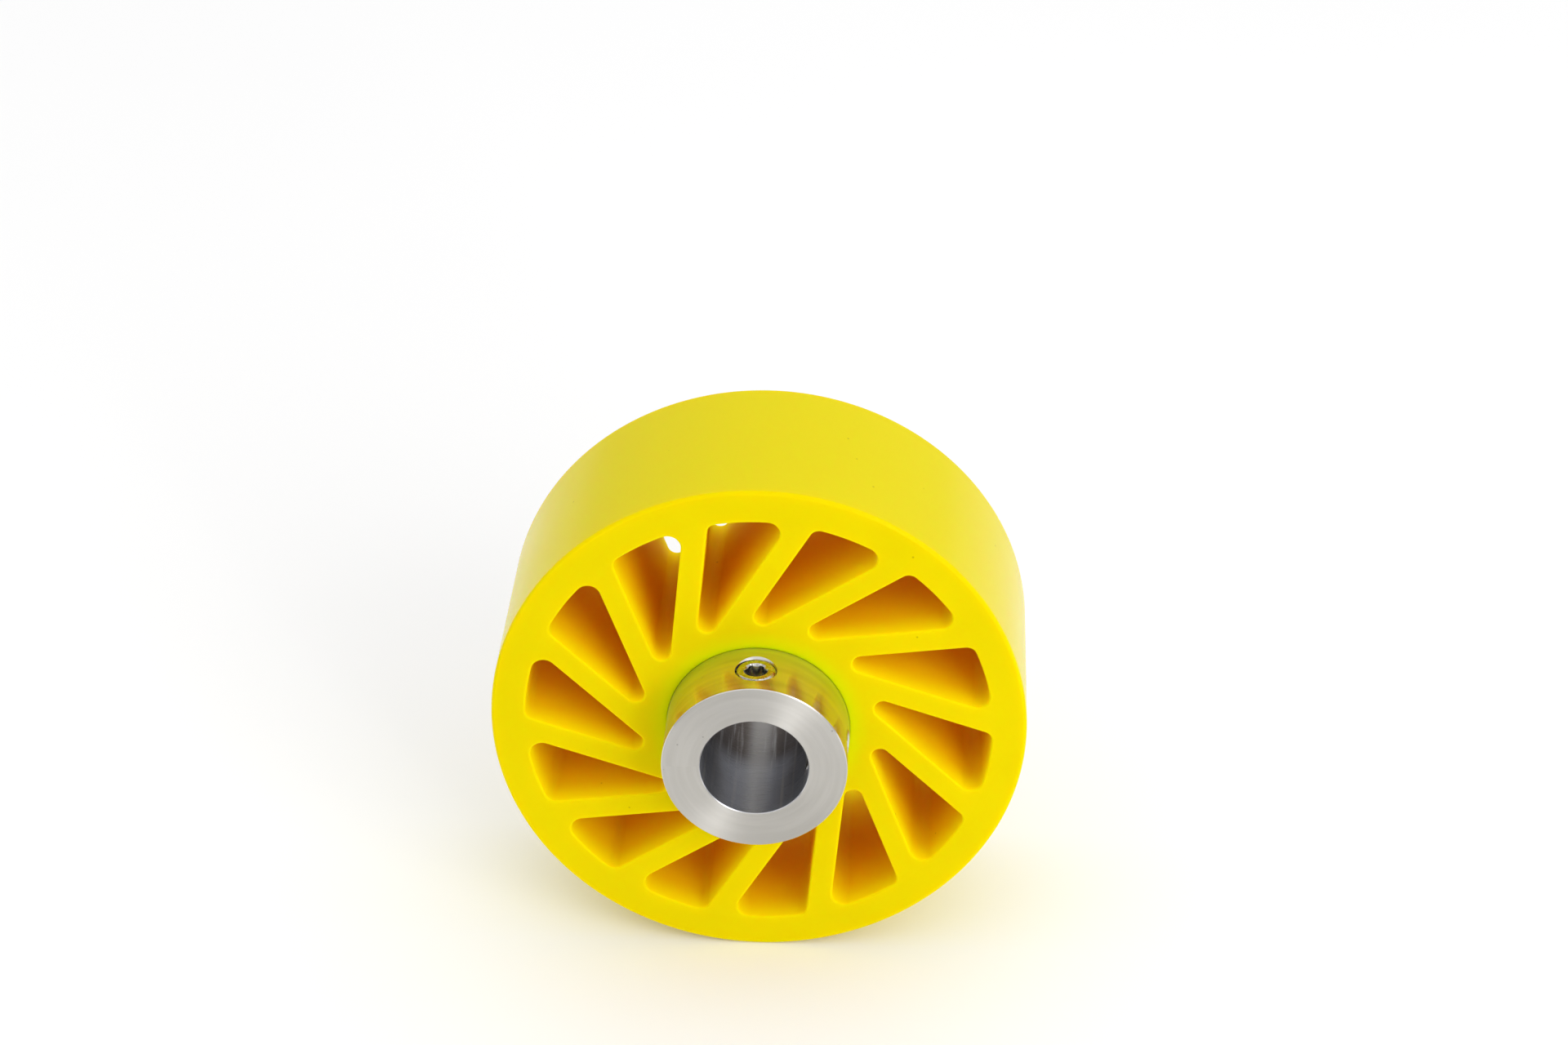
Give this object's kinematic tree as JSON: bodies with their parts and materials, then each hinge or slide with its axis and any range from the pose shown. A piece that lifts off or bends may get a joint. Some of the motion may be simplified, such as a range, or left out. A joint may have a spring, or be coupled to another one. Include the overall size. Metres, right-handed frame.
{
  "type": "open-spoke feed wheel",
  "caption": "Soft cast urethane feed wheel with slanted open spokes round a metal hub; the boss clamps on a round shaft with radial set screws.",
  "frame": {"origin": "on the bore's axis, half way across the tread", "axes": "+Y along the bore, from the boss towards the flush back face; +Z towards the top set screw"},
  "size_m": [0.127, 0.0688, 0.127],
  "materials": {
    "urethane": "gloss",
    "hub_aluminium": "satin",
    "screw_steel": "gloss"
  },
  "bodies": {
    "wheel": {"urethane_wheel": "urethane", "hub": "hub_aluminium"},
    "screw_top": {"set_screw_top": "screw_steel"},
    "screw_side": {"set_screw_side": "screw_steel"}
  },
  "joints": [
    {"name": "screw_top_travel", "type": "slide", "parent": "wheel", "child": "screw_top", "axis": [0, 0, 1], "range_m": [-0.0007, 0.0066]},
    {"name": "screw_side_travel", "type": "slide", "parent": "wheel", "child": "screw_side", "axis": [1, 0, 0], "range_m": [-0.0007, 0.0066]}
  ]
}
